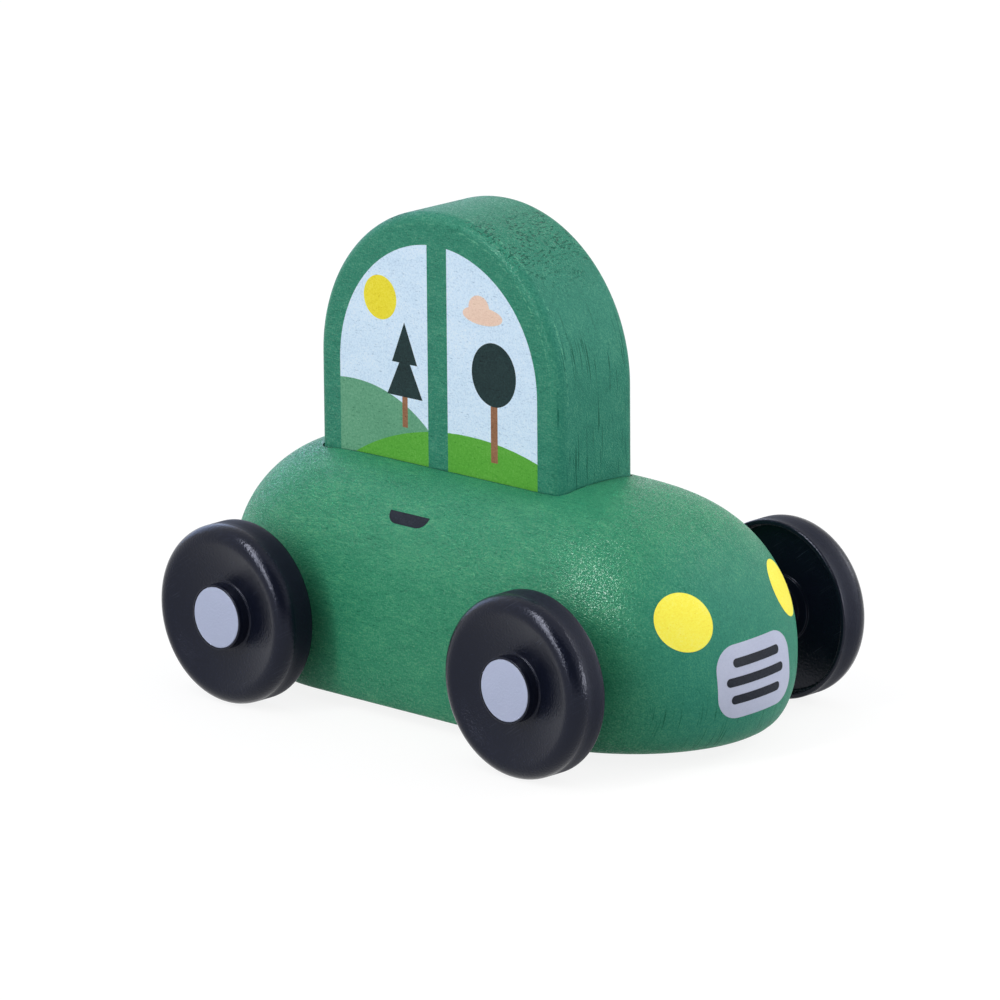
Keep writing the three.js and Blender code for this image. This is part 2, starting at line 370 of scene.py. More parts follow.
# the pattern that each mask follows, and the values where it begins and is full
mouldMasks = {
    "line": ("streak", 0.62, 0.74),
    "patch": ("handling", 0.50, 0.62),
    "face": ("axial", 0.01, 0.06),                       # all of a wheel but its tread
}
steelLook = {
    "colour": "#b4b6b8", "roughLow": 0.22, "roughHigh": 0.42,
    "dieLine": 0.08 * mm, "dieRun": 20 * mm, "dieDepth": 0.01 * mm, "relief": 0.4,
}


# Moulded ABS: the mould's fine grain breaks its gloss into soft patches, a wheel's tread is dull from
# rolling, and play leaves scuffs
def mouldedAbs(name, s):
    g = mouldGrain
    material, tree = newMaterial(name)
    coords = addNode(tree, "TexCoord")
    place = coords.outputs["Object"]
    spark = addNode(tree, "TexNoise", {"Vector": place, "Scale": 1 / g["spark"], "Detail": 2.0})
    handling = addNode(tree, "TexNoise", {"Vector": place, "Scale": 1 / g["handling"], "Detail": 4.0})
    turned = addNode(tree, "Mapping", {"Vector": place, "Rotation": (0, g["scuffLean"], 0)})
    drawn = addNode(tree, "Mapping", {
        "Vector": turned,
        "Scale": (1 / g["scuffLong"], 1 / g["scuffLong"], 1 / g["scuffWide"])})
    streak = addNode(tree, "TexNoise", {"Vector": drawn, "Scale": 1.0, "Detail": 1.0})
    normal = addNode(tree, "SeparateXYZ", {0: coords.outputs["Normal"]})
    axial = addNode(tree, "Math", {0: normal.outputs["Y"]}, operation="ABSOLUTE")
    pattern = {"streak": streak, "handling": handling, "axial": axial}
    masks = {}
    for key, (source, begin, full) in mouldMasks.items():
        masks[key] = addNode(tree, "MapRange", {
            "Value": pattern[source], "From Min": begin, "From Max": full})
    onFace = addNode(tree, "Math", {0: masks["patch"], 1: masks["face"]}, operation="MULTIPLY")
    scuffed = addNode(tree, "Math", {0: masks["line"], 1: onFace}, operation="MULTIPLY")
    base = addNode(tree, "Mix", {
        "Factor": pattern["handling"], "A": hexLinear(s["plain"]), "B": hexLinear(s["pale"])},
        data_type="RGBA")
    colour = addNode(tree, "Mix", {
        "Factor": scuffed, "A": base, "B": hexLinear(s["scuff"])}, data_type="RGBA")
    rough = addNode(tree, "MapRange", {
        "Value": pattern["handling"], "From Min": g["handledFrom"], "From Max": g["handledTo"],
        "To Min": s["roughLow"], "To Max": s["roughHigh"]})
    worn = addNode(tree, "Mix", {"Factor": masks["face"], "A": s["roughTread"], "B": rough})
    shine = addNode(tree, "Mix", {"Factor": masks["face"], "A": s["glossTread"], "B": s["gloss"]})
    bump = addNode(tree, "Bump", {
        "Height": spark, "Distance": g["sparkDepth"], "Strength": g["relief"]})
    shader = addNode(tree, "BsdfPrincipled", {
        "Base Color": colour, "Roughness": worn, "Normal": bump, "IOR": g["ior"],
        "Specular IOR Level": shine, "Specular Tint": hexLinear(s["sheen"])})
    finishMaterial(tree, shader)
    return material


# Drawn steel wire: bright, with fine die lines along the rod
def drawnSteel(name):
    s = steelLook
    material, tree = newMaterial(name)
    place = addNode(tree, "TexCoord").outputs["Object"]
    along = addNode(tree, "Mapping", {
        "Vector": place, "Scale": (1 / s["dieLine"], 1 / s["dieRun"], 1 / s["dieLine"])})
    drawn = addNode(tree, "TexNoise", {"Vector": along, "Scale": 1.0, "Detail": 2.0})
    rough = addNode(tree, "MapRange", {
        "Value": drawn, "To Min": s["roughLow"], "To Max": s["roughHigh"]})
    bump = addNode(tree, "Bump", {"Height": drawn, "Distance": s["dieDepth"], "Strength": s["relief"]})
    shader = addNode(tree, "BsdfPrincipled", {
        "Base Color": hexLinear(s["colour"]), "Metallic": 1.0, "Roughness": rough, "Normal": bump})
    finishMaterial(tree, shader)
    return material


print("finishes ready")


# Body block

bodyLow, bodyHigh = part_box("body_block")
cabLow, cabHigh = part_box("cab_block")
cabEdgeRound = 1.9 * mm
bodyShape = {
    "halfLength": (bodyHigh[0] - bodyLow[0]) / 2 - 0.08 * mm,   # room for the prints on the nose
    "halfWidth": (bodyHigh[1] - bodyLow[1]) / 2,
    "underside": bodyLow[2],
    "crown": bodyHigh[2] + 0.004 * mm,                   # the CAD block's facets end just short of it
    "waist": 9.5 * mm,                                   # widest level, above the underside
    "endTuck": 6 * mm, "sillTuck": 1.7 * mm,             # how far the foot draws in below the waist
    "hood": 30.9 * mm, "boot": 22.8 * mm,                # nose and tail to the level crown
    "corner": 29.3 * mm,                                 # rounded stretch of each side, from above
    "endRound": 2.05, "sideRound": 2.7, "cornerLow": 2.05, "cornerHigh": 2.83,
    "cornerSteps": 28, "sideSteps": 10, "footLevels": 12, "domeLevels": 44, "weld": 0.002 * mm,
    "deep": "#14644a", "plain": "#338765", "pale": "#5aa77a", "endPlain": "#30826d",
    "sideShow": 0.74, "endShow": 0.65, "topPolish": 1.0,
    "checkTop": 9 * mm, "checkFade": 6 * mm,             # the sawn ends show checks below this level
    "jointLow": cabLow, "jointHigh": cabHigh, "jointRound": cabEdgeRound,
    # painted shade along the seam round the cab's foot: its colour, how far it reaches, and where it is
    # full
    "seamShadeColour": "#1c4235", "seamShadeWide": 0.55 * mm, "seamShadeFull": 0.55 * mm / 3,
}


# how far the block reaches at a level, on an end or a side, from its foot over the waist to the crown
def reachAt(level, full, tuck, crownReach, roundness):
    s = bodyShape
    waist = s["underside"] + s["waist"]
    if level < waist:
        drop = min(1, (waist - level) / s["waist"])
        return full - tuck * (1 - math.sqrt(1 - drop * drop))
    rise = min(1, (level - waist) / (s["crown"] - waist))
    return crownReach + (full - crownReach) * (1 - rise ** roundness) ** (1 / roundness)


# where a point of the ring lies: quarter 0 to 3 from the nose, and its share of that quarter
def bodyPoint(quarter, share, level):
    s = bodyShape
    front = quarter in (0, 3)
    flat = s["hood"] if front else s["boot"]
    end = reachAt(level, s["halfLength"], s["endTuck"], s["halfLength"] - flat, s["endRound"])
    side = reachAt(level, s["halfWidth"], s["sillTuck"], 0, s["sideRound"])
    straight = 1 - s["corner"] / s["halfLength"]
    height = (level - s["underside"]) / (s["crown"] - s["underside"])
    power = 2 / (s["cornerLow"] + (s["cornerHigh"] - s["cornerLow"]) * height)
    bend = s["cornerSteps"] / (s["cornerSteps"] + s["sideSteps"])
    turn = min(1, share / bend) * math.pi / 2
    slide = max(0, share - bend) / (1 - bend)            # the straight stretch, to the car's middle
    x = end * (straight * (1 - slide) + (1 - straight) * max(0, math.cos(turn)) ** power)
    y = side * math.sin(turn) ** power
    return Vector((x if front else -x, y if quarter < 2 else -y, level))


def bodyLevels():
    s = bodyShape
    waist = s["underside"] + s["waist"]
    footTurns = [i / s["footLevels"] * math.pi / 2 for i in range(s["footLevels"])]
    domeTurns = [i / s["domeLevels"] * math.pi / 2 for i in range(s["domeLevels"] + 1)]
    foot = [waist - s["waist"] * math.cos(turn) for turn in footTurns]
    return foot + [waist + (s["crown"] - waist) * math.sin(turn) for turn in domeTurns]


# a ring drawn up from level to level, each time laid on the outline there
def buildBody():
    s = bodyShape
    bm = bmesh.new()
    perQuarter = s["cornerSteps"] + s["sideSteps"]
    perRing = 4 * perQuarter
    mark = bm.verts.layers.int.new("mark")
    ring = bmesh.ops.create_circle(bm, cap_ends=True, segments=perRing, radius=s["halfWidth"])["verts"]
    for vert in ring:
        turn = math.atan2(vert.co.y, vert.co.x) / (2 * math.pi)
        vert[mark] = round(turn * perRing) % perRing
    edges = list(bm.edges)
    for n, level in enumerate(bodyLevels()):
        if n:
            grown = bmesh.ops.extrude_edge_only(bm, edges=edges)["geom"]
            ring = pick(grown)
            edges = pick(grown, bmesh.types.BMEdge)
        for vert in ring:
            quarter, step = divmod(vert[mark], perQuarter)
            step = step if quarter in (0, 2) else perQuarter - step
            vert.co = bodyPoint(quarter, step / perQuarter, level)
    bmesh.ops.remove_doubles(bm, verts=bm.verts, dist=s["weld"])
    bmesh.ops.recalc_face_normals(bm, faces=bm.faces)
    return newPiece("woodenBody", bm, stainedBeech("greenStainedBeech", s))


body = buildBody()
print("body block:", len(body.data.polygons), "faces")


# Cab block

cabShape = {
    "middle": (cabLow[0] + cabHigh[0]) / 2, "radius": (cabHigh[0] - cabLow[0]) / 2,
    "halfThickness": (cabHigh[1] - cabLow[1]) / 2, "foot": cabLow[2], "roof": cabHigh[2],
    "springing": cabHigh[2] - (cabHigh[0] - cabLow[0]) / 2,
    "edgeRound": cabEdgeRound, "edgeSteps": 8, "archSteps": 96, "weld": 0.001 * mm,
    "seam": 0.2 * mm,                                    # gap round the foot, beside which painted shade darkens the body
    "rodRoom": 0.1 * mm, "rodSteps": 48,                 # holes for axles and dowels
    "deep": "#125c49", "plain": "#308169", "pale": "#62ac8c", "endPlain": "#2f806c",
    "sideShow": 0.5, "endShow": 0.6, "topPolish": 0.5,
    "checkTop": 62 * mm, "checkFade": 7 * mm,
    "wearTone": 0.3, "wearWide": 0.15 * mm, "wearFade": 8 * mm, "wearFrom": 0.22, "wearTo": 0.34,
}


# an arch standing on two legs, as one flat face in the XZ plane
def archFace(bm, radius, springing, foot, steps):
    s = cabShape
    place = Matrix.Translation((s["middle"], -s["halfThickness"], springing))
    bmesh.ops.create_circle(bm, cap_ends=True, segments=2 * steps, radius=radius,
                            matrix=place @ Matrix.Rotation(math.pi / 2, 4, "X"))
    level = bmesh.ops.bisect_plane(bm, geom=bm.verts[:] + bm.edges[:] + bm.faces[:], dist=s["weld"],
                                   plane_co=(0, 0, springing), plane_no=(0, 0, -1), clear_outer=True)
    line = pick(level["geom_cut"], bmesh.types.BMEdge)
    legs = bmesh.ops.extrude_edge_only(bm, edges=line)["geom"]
    bmesh.ops.translate(bm, vec=(0, 0, foot - springing), verts=pick(legs))
    bmesh.ops.dissolve_edges(bm, edges=line)


def buildCab():
    s = cabShape
    bm = bmesh.new()
    archFace(bm, s["radius"], s["springing"], s["foot"], s["archSteps"])
    thicken(bm, (0, 2 * s["halfThickness"], 0))
    outline = [e for e in bm.edges if abs(e.verts[0].co.y - e.verts[1].co.y) < mm]
    roundOff(bm, outline, s["edgeRound"], s["edgeSteps"])
    return newPiece("woodenCab", bm, stainedBeech("greenStainedBeechCab", s))


# a round rod as large as a node's box, with room to spare
def addRod(bm, node, turn):
    s = cabShape
    low, high = (Vector(corner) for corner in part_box(node))
    radius = (high.x - low.x) / 2 + s["rodRoom"]
    bmesh.ops.create_cone(bm, cap_ends=True, segments=s["rodSteps"], radius1=radius, radius2=radius,
                          depth=max(high - low) + 2 * s["rodRoom"],
                          matrix=Matrix.Translation((low + high) / 2) @ turn)


# the dowel holes, and for the body also the pocket in its crown and the axle bores
def joineryTool(withPocket):
    s = cabShape
    bm = bmesh.new()
    if withPocket:
        bmesh.ops.create_cube(bm, size=1)
        size = (2 * (s["radius"] + s["seam"]), 2 * (s["halfThickness"] + s["seam"]), s["roof"] - s["foot"])
        bmesh.ops.scale(bm, vec=size, verts=bm.verts)
        centre = (s["middle"], 0, (s["roof"] + s["foot"]) / 2 - s["seam"])
        bmesh.ops.translate(bm, vec=centre, verts=bm.verts)
        corners = [e for e in bm.edges if abs(e.verts[0].co.z - e.verts[1].co.z) > mm]
        roundOff(bm, corners, s["edgeRound"], s["edgeSteps"])
        for axle in ("front_axle", "rear_axle"):
            addRod(bm, axle, Matrix.Rotation(math.pi / 2, 4, "X"))
    for dowel in ("cab_dowel_front", "cab_dowel_rear"):
        addRod(bm, dowel, Matrix.Identity(4))
    return newPiece("joineryTool", bm)


cab = buildCab()
bodyForPrints = body.data.copy()
cutWith(body, joineryTool(True), "DIFFERENCE")
cutWith(cab, joineryTool(False), "DIFFERENCE")
for piece, node in ((body, "body_block"), (cab, "cab_block")):
    smoothShade(piece.data)
    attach(piece, "car_body")
    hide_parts(node)
print("cab block:", len(cab.data.polygons), "faces")


# Windows printed on both sides of the cab

windowPrint = {
    "radius": 22.1 * mm, "springing": 54.1 * mm, "foot": 37.6 * mm, "steps": 72,
    "sill": 39.2 * mm,                                   # where the body's crown covers the panes
    "pillar": 4.4 * mm,                                  # bare wood between the two panes
    "film": 0.03 * mm, "cutReach": mm,                   # ink, and how far a cut goes on either side
}
windowInks = {
    "sky": printedInk("skyBluePrintedInk", "#a8c4de", "#d4ebff", "#f0f8ff", 0.6),
    "leaf": printedInk("leafGreenPrintedInk", "#3f8a2c", "#5aa83c", "#7cc05c"),
    "moss": printedInk("mossGreenPrintedInk", "#3d7a5c", "#63a080", "#8abf9f"),
    "pine": printedInk("pineGreenPrintedInk", "#101c1d", "#1d3133", "#30494a"),
    "bark": printedInk("barkBrownPrintedInk", "#6d4a36", "#93684d", "#ad8468"),
    "sun": printedInk("sunYellowPrintedInk", "#d8c21f", "#efe039", "#f9f06e"),
    "cream": printedInk("creamPrintedInk", "#d7b29b", "#efd0bd", "#f8e2d4"),
}
# a plain landscape in millimetres, what lies in front first: place right of the pillar and above the
# sill, half width, half height, corners and ink
landscape = {
    "roundTree": (12.6, 17.6, 4.9, 5.3, 64, "pine"),
    "trunk": (12.6, 9.0, 0.75, 6.0, 4, "bark"),
    "firTop": (-7.4, 18.6, 3.3, 4.6, 3, "pine"),
    "firSkirt": (-7.4, 13.4, 4.6, 5.4, 3, "pine"),
    "firTrunk": (-7.4, 8.6, 0.6, 3.0, 4, "bark"),
    "nearHill": (7.0, -19.0, 38.0, 25.5, 96, "leaf"),
    "farHill": (-19.0, -9.0, 24.0, 21.0, 96, "moss"),
    "sun": (-12.8, 26.6, 3.7, 3.7, 64, "sun"),
    "cloudLow": (10.2, 27.0, 4.4, 1.5, 64, "cream"),
    "cloudHigh": (9.4, 28.2, 2.3, 2.1, 64, "cream"),
}


# one pane's film of ink, the arch's face between two uprights, a little proud of the wood
def paneFilm(low, high):
    w = windowPrint
    bm = bmesh.new()
    archFace(bm, w["radius"], w["springing"], w["foot"], w["steps"])
    for edge, outward in ((low, -1), (high, 1)):
        bmesh.ops.bisect_plane(bm, geom=bm.verts[:] + bm.edges[:] + bm.faces[:], plane_co=(edge, 0, 0),
                               plane_no=(outward, 0, 0), clear_outer=True)
    thicken(bm, (0, -w["film"], 0))
    return newPiece("paneFilm", bm)


# a flat shape with so many corners, standing in the XZ plane and deep enough to cut a film
def motif(x, z, halfWide, halfTall, corners):
    s, w = cabShape, windowPrint
    square = corners == 4
    bm = bmesh.new()
    bmesh.ops.create_circle(bm, cap_ends=True, segments=corners, radius=math.sqrt(2) if square else 1)
    turn = Matrix.Rotation(math.pi / 4 if square else 0, 4, "Z")
    size = Matrix.Diagonal((halfWide * mm, halfTall * mm, 1, 1))
    upright = Matrix.Rotation(math.pi / 2, 4, "X")
    spot = (s["middle"] + x * mm, -s["halfThickness"] - w["cutReach"], w["sill"] + z * mm)
    bmesh.ops.transform(bm, matrix=Matrix.Translation(spot) @ upright @ size @ turn, verts=bm.verts)
    thicken(bm, (0, 2 * w["cutReach"], 0))
    return newPiece("motif", bm)


def layInk(panes, film, inkName):
    number = list(windowInks).index(inkName)
    film.data.polygons.foreach_set("material_index", [number] * len(film.data.polygons))
    panes.from_mesh(film.data)
    dropPiece(film)


# the landscape parts each pane's film along its shapes, so that no ink lies over another
def drawPanes():
    w = windowPrint
    middle = cabShape["middle"]
    drawn = bmesh.new()
    for low, high in ((middle - w["radius"], middle - w["pillar"] / 2),
                      (middle + w["pillar"] / 2, middle + w["radius"])):
        film = paneFilm(low, high)
        for *shape, inkName in landscape.values():
            x, halfWide = shape[0] * mm, shape[2] * mm
            if low - halfWide < middle + x < high + halfWide:
                inside = copyPiece(film)
                cutWith(inside, motif(*shape), "INTERSECT")
                cutWith(film, motif(*shape), "DIFFERENCE")
                layInk(drawn, inside, inkName)
        layInk(drawn, film, "sky")
    return drawn


def printWindows():
    right = drawPanes()
    left = right.copy()
    bmesh.ops.scale(left, vec=(1, -1, 1), verts=left.verts)
    bmesh.ops.reverse_faces(left, faces=left.faces)
    for panes, name in ((right, "windowPrintRight"), (left, "windowPrintLeft")):
        window = newPiece(name, panes, *windowInks.values())
        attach(window, "car_body")


printWindows()
print("windows printed")


# Lamps, grille and door handles printed on the body

yellowInk = printedInk("lampYellowPrintedInk", "#f2d43a", "#fff456", "#fffa9a", 0.35)
greyInk = printedInk("paleGreyPrintedInk", "#a2a9c0", "#bdc3da", "#cdd2e4", 0.25)
darkInk = printedInk("charcoalPrintedInk", "#0e1219", "#181d28", "#30343f")
facePrint = {
    "film": 0.035 * mm, "sink": 5 * mm,                  # ink above the wood, helper depth below it
    "roll": math.radians(1.8), "slip": 0.3 * mm,         # the nose is printed a little askew
    "lampSlip": 0.71 * mm, "lampDrawn": {-1: 1.0, 1: 0.85},   # the left one is pressed narrower
    "lampWide": 9.3 * mm, "lampAcross": 12.19 * mm, "lampLevel": 24.5 * mm, "lampAt": 48.6 * mm,
    "lampTurn": math.radians(9), "lampTilt": math.radians(8), "lampSteps": 64,
    "grilleWide": 17.3 * mm, "grilleTall": 12.0 * mm, "grilleRound": 4.0 * mm, "grilleLevel": 13.95 * mm,
    "slotLengths": (10.95 * mm, 13.25 * mm, 11.2 * mm), "slotTall": 1.45 * mm, "slotSpacing": 2.95 * mm,
    "slotSlips": (0.12 * mm, -0.39 * mm, -0.6 * mm), "slotRise": 0.15 * mm, "slotRound": 0.696 * mm,
    "handleWide": 8.7 * mm, "handleTall": 1.7 * mm, "handleDrawn": 1.35, "handleRound": 1.615 * mm,
    "handleAt": -4.95 * mm, "handleTop": 33.8 * mm, "handleOut": 19 * mm,
    "cornerSteps": 10,
}


# a flat shape in the XY plane with round or drawn out corners, to be turned to the side it is printed on
def roundedShape(wide, tall, rounding, lowerOnly=False, drawnOut=1):
    bm = bmesh.new()
    bmesh.ops.create_grid(bm, x_segments=1, y_segments=1, size=0.5)
    bmesh.ops.scale(bm, vec=(wide / drawnOut, tall, 1), verts=bm.verts)
    corners = [v for v in bm.verts if v.co.y < 0 or not lowerOnly]
    roundOff(bm, corners, rounding, facePrint["cornerSteps"], "VERTICES")
    bmesh.ops.scale(bm, vec=(drawnOut, 1, 1), verts=bm.verts)
    return bm


# ink is the body's own skin, lifted a little, kept only inside the outline
def printOnBody(name, outline, place, lift, ink):
    sink = facePrint["sink"]
    thicken(outline, (0, 0, 2 * sink))
    bmesh.ops.translate(outline, vec=(0, 0, -sink), verts=outline.verts)
    bmesh.ops.transform(outline, matrix=place, verts=outline.verts)
    tool = newPiece("printTool", outline)
    skin = bmesh.new()
    skin.from_mesh(bodyForPrints)
    for vert in skin.verts:
        vert.co += vert.normal * lift
    piece = newPiece(name, skin, ink)
    cutWith(piece, tool, "INTERSECT")
    dress(piece.data, ink)
    smoothShade(piece.data)
    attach(piece, "car_body")


# the print's X runs to the viewer's right, its Y up, and its Z out of the body
def facing(point, outward):
    out = Vector(outward).normalized()
    right = Vector((0, 0, 1)).cross(out).normalized()
    return Matrix.Translation(point) @ Matrix((right, out.cross(right), out)).transposed().to_4x4()


def printLamp(name, side, askew):
    p = facePrint
    lamp = bmesh.new()
    bmesh.ops.create_circle(lamp, cap_ends=True, segments=p["lampSteps"], radius=p["lampWide"] / 2)
    out = (math.cos(p["lampTurn"]) * math.cos(p["lampTilt"]),
           side * math.sin(p["lampTurn"]) * math.cos(p["lampTilt"]), math.sin(p["lampTilt"]))
    place = facing((p["lampAt"], side * p["lampAcross"] + p["lampSlip"], p["lampLevel"]), out)
    drawn = Matrix.Diagonal((p["lampDrawn"][side], 1, 1, 1))
    printOnBody(name, lamp, askew @ place @ drawn, p["film"], yellowInk)


def printHandle(name, side):
    p = facePrint
    handle = roundedShape(p["handleWide"], p["handleTall"], p["handleRound"], True, p["handleDrawn"])
    middle = (p["handleAt"], side * p["handleOut"], p["handleTop"] - p["handleTall"] / 2)
    printOnBody(name, handle, facing(middle, (0, side, 0)), p["film"], darkInk)


def printFace():
    p = facePrint
    middle = Matrix.Translation((0, p["slip"], p["grilleLevel"]))
    slipped = Matrix.Translation((0, p["slip"], 0))
    askew = middle @ Matrix.Rotation(p["roll"], 4, "X") @ middle.inverted() @ slipped
    for side, word in ((-1, "Right"), (1, "Left")):
        printLamp("headlamp" + word, side, askew)
        printHandle("doorHandle" + word, side)
    nose = bodyShape["halfLength"]
    plate = roundedShape(p["grilleWide"], p["grilleTall"], p["grilleRound"])
    place = askew @ facing((nose, 0, p["grilleLevel"]), (1, 0, 0))
    printOnBody("grillePlate", plate, place, p["film"], greyInk)
    for i, (length, slip) in enumerate(zip(p["slotLengths"], p["slotSlips"])):
        slot = roundedShape(length, p["slotTall"], p["slotRound"])
        level = p["grilleLevel"] + p["slotRise"] + (1 - i) * p["slotSpacing"]
        place = askew @ facing((nose, slip, level), (1, 0, 0))
        printOnBody("grilleSlot%d" % (i + 1), slot, place, 2 * p["film"], darkInk)


printFace()
bpy.data.meshes.remove(bodyForPrints)
print("lamps, grille and handles printed")


# Wheels, hub caps, axles and dowels

wheelLow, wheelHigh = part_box("wheel_front_left")
capLow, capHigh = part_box("hub_cap_front_left")
wheelShape = {
    "radius": (wheelHigh[0] - wheelLow[0]) / 2, "hubEnd": capHigh[1] - wheelLow[1],
    "bore": 2.05 * mm, "gap": 0.05 * mm,
    "bossWall": 0.3 * mm, "collarStep": 0.22 * mm, "collarDepth": 2.05 * mm, "collarEdge": 0.06 * mm,
    "faceDepth": 2.25 * mm, "faceEase": 0.36,
    "crestTurn": 16 / 90,                                # of a quarter turn, past the tyre's crest
    "hubProud": 0.8 * mm, "tyreWidth": 6.6 * mm,
    "outerFall": 2.3 * mm, "outerReach": 2.6 * mm, "innerFall": 0.35 * mm, "innerReach": 0.35 * mm,
    "rimLip": 0.5 * mm, "webDepth": 5.4 * mm, "cupRound": 0.72 * mm, "innerHub": 3.8 * mm,
    "innerBoss": 5.6 * mm, "innerBossRise": 0.5 * mm, "edge": 0.18 * mm,
    "edgeSteps": 3, "bossSteps": 4, "cupSteps": 5, "arcSteps": 14, "turnSteps": 112,
    "weld": 0.001 * mm, "smoothAngle": 40,
    "plain": "#101320", "pale": "#131724", "scuff": "#2c303c", "sheen": "#e2e6fa",
    "roughLow": 0.16, "roughHigh": 0.24, "gloss": 0.25, "roughTread": 0.60, "glossTread": 0.15,
}
capShape = {
    "face": capHigh[1], "depth": capHigh[1] - capLow[1], "radius": (capHigh[0] - capLow[0]) / 2,
    "thick": 1.2 * mm, "edge": 0.216 * mm, "edgeSteps": 5,
    "plain": "#a9b2cd", "pale": "#b3bbd6", "scuff": "#bec6dc", "sheen": "#ffffff",
    "roughLow": 0.5, "roughHigh": 0.6, "gloss": 0.4, "roughTread": 0.6, "glossTread": 0.4,
}
dowelLook = {
    "deep": "#b48d5c", "plain": "#d8b98a", "pale": "#e6cda3", "endPlain": "#cdab7c",
    "sideShow": 1.0, "endShow": 1.0, "topPolish": 1.0, "checkTop": 0, "checkFade": mm,
}


# points of a quarter of an ellipse, from one angle to another, in quarter turns
def arc(centre, reach, start, end, steps):
    turns = [(start + (end - start) * i / steps) * math.pi / 2 for i in range(steps + 1)]
    return [(centre[0] + reach[0] * math.cos(t), centre[1] + reach[1] * math.sin(t)) for t in turns]


# points of a curve drawn to a corner that it rounds off
def ease(start, corner, end, steps):
    points = []
    for i in range(steps + 1):
        t = i / steps
        points.append([(1 - t) ** 2 * a + 2 * t * (1 - t) * b + t * t * c
                       for a, b, c in zip(start, corner, end)])
    return points


# a profile of (radius, depth in from the hub cap's face), turned about a wheel's axle
def turnProfile(name, points, closed, axle, side, material):
    s = wheelShape
    bm = bmesh.new()
    verts = [bm.verts.new((radius, capShape["face"] - depth, 0)) for radius, depth in points]
    pairs = list(zip(verts, verts[1:])) + ([(verts[-1], verts[0])] if closed else [])
    edges = [bm.edges.new(pair) for pair in pairs]
    bmesh.ops.spin(bm, geom=verts + edges, cent=(0, 0, 0), axis=(0, 1, 0), angle=2 * math.pi,
                   steps=s["turnSteps"], use_merge=True)
    bmesh.ops.remove_doubles(bm, verts=bm.verts, dist=s["weld"])
    bmesh.ops.recalc_face_normals(bm, faces=bm.faces)
    low, high = (Vector(corner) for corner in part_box(axle))
    turn = Matrix.Rotation(math.pi if side < 0 else 0, 4, "Z")
    bmesh.ops.transform(bm, matrix=Matrix.Translation((low + high) / 2) @ turn, verts=bm.verts)
    return newPiece(name, bm, material, smoothAngle=s["smoothAngle"])


# the wheel's hollow side, from the end of its hub out over the steps to the rim's lip
def hollowSide(cup, back):
    s = wheelShape
    e, n = s["edge"], s["edgeSteps"]
    web, step = s["webDepth"], s["webDepth"] + s["innerBossRise"]
    outward, deeper, shallower = Vector((1, 0)), Vector((0, 1)), Vector((0, -1))
    points = [(s["bore"], s["hubEnd"])]
    for radius, depth, wayIn, wayOut, edge, steps in (
            (s["innerHub"], s["hubEnd"], outward, shallower, e, n),
            (s["innerHub"], step, shallower, outward, e, n),
            (s["innerBoss"], step, outward, shallower, e, n),
            (s["innerBoss"], web, shallower, outward, e, n),
            (cup, web, outward, deeper, s["cupRound"], s["cupSteps"]),
            (cup, back, deeper, outward, e, n)):
        corner = Vector((radius, depth))
        points += ease(corner - wayIn * edge, corner, corner + wayOut * edge, steps)
    return points


# the tyre, then its dished face down to the collar, and up the boss to the hub cap's recess
def outerSide(rim, back):
    s = wheelShape
    e, n = s["edge"], s["edgeSteps"]
    recess = capShape["radius"] + s["gap"]
    boss = recess + s["bossWall"]
    collar = boss + s["collarStep"]
    top, foot = s["collarDepth"], s["faceDepth"]
    brow = (collar, top + s["collarEdge"])
    seat = capShape["thick"] + s["gap"]
    points = arc((rim, back - s["innerReach"]), (s["innerFall"], s["innerReach"]), 1, 0, s["arcSteps"])
    points += arc((s["radius"] - s["outerFall"], s["hubProud"] + s["outerReach"]),
                  (s["outerFall"], s["outerReach"]), 0, -1 - s["crestTurn"], s["arcSteps"])
    crest = points[-1]
    turnUp = (collar + (crest[0] - collar) * s["faceEase"], foot)
    points += ease(crest, turnUp, (collar + e, foot), s["arcSteps"])[1:]
    points += ease((collar + e, foot), (collar, foot), brow, n)[1:]
    points += ease(brow, (collar, top), (boss, top), n)[1:]
    points += ease((boss, e), (boss, 0), (boss - e, 0), s["bossSteps"])
    return points + [(recess, 0), (recess, seat), (s["bore"], seat)]


def wheelProfile():
    s = wheelShape
    back = s["hubProud"] + s["tyreWidth"]
    rim = s["radius"] - s["innerFall"]
    return hollowSide(rim - s["rimLip"], back) + outerSide(rim, back)


def capProfile():
    c = capShape
    edge, radius = c["edge"], c["radius"]
    spigot = wheelShape["bore"] - wheelShape["gap"]
    points = [(0, c["depth"]), (spigot, c["depth"]), (spigot, c["thick"]), (radius, c["thick"])]
    return points + ease((radius, edge), (radius, 0), (radius - edge, 0), c["edgeSteps"]) + [(0, 0)]


def buildWheels():
    blackAbs = mouldedAbs("blackMouldedAbs", wheelShape)
    greyAbs = mouldedAbs("greyMouldedAbs", capShape)
    axleSteel = drawnSteel("drawnSteelWire")
    bareBeech = stainedBeech("bareBeech", dowelLook)
    for end in ("front", "rear"):
        for side, word in ((1, "left"), (-1, "right")):
            where = end.title() + word.title()
            tyre = turnProfile("wheel" + where, wheelProfile(), True, end + "_axle", side, blackAbs)
            disc = turnProfile("hubCap" + where, capProfile(), False, end + "_axle", side, greyAbs)
            made = ((tyre, "wheel", "black_plastic"), (disc, "hub_cap", "grey_plastic"))
            for piece, node, slotName in made:
                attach(piece, end + "_wheelset")
                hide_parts("%s_%s_%s" % (node, end, word))
        dress(bpy.data.objects[end + "_axle"].data, axleSteel)
        dress(bpy.data.objects["cab_dowel_" + end].data, bareBeech)


buildWheels()
print("wheels turned")


# Studio: pale floor, soft lamps, and a long lens at the photograph's angle

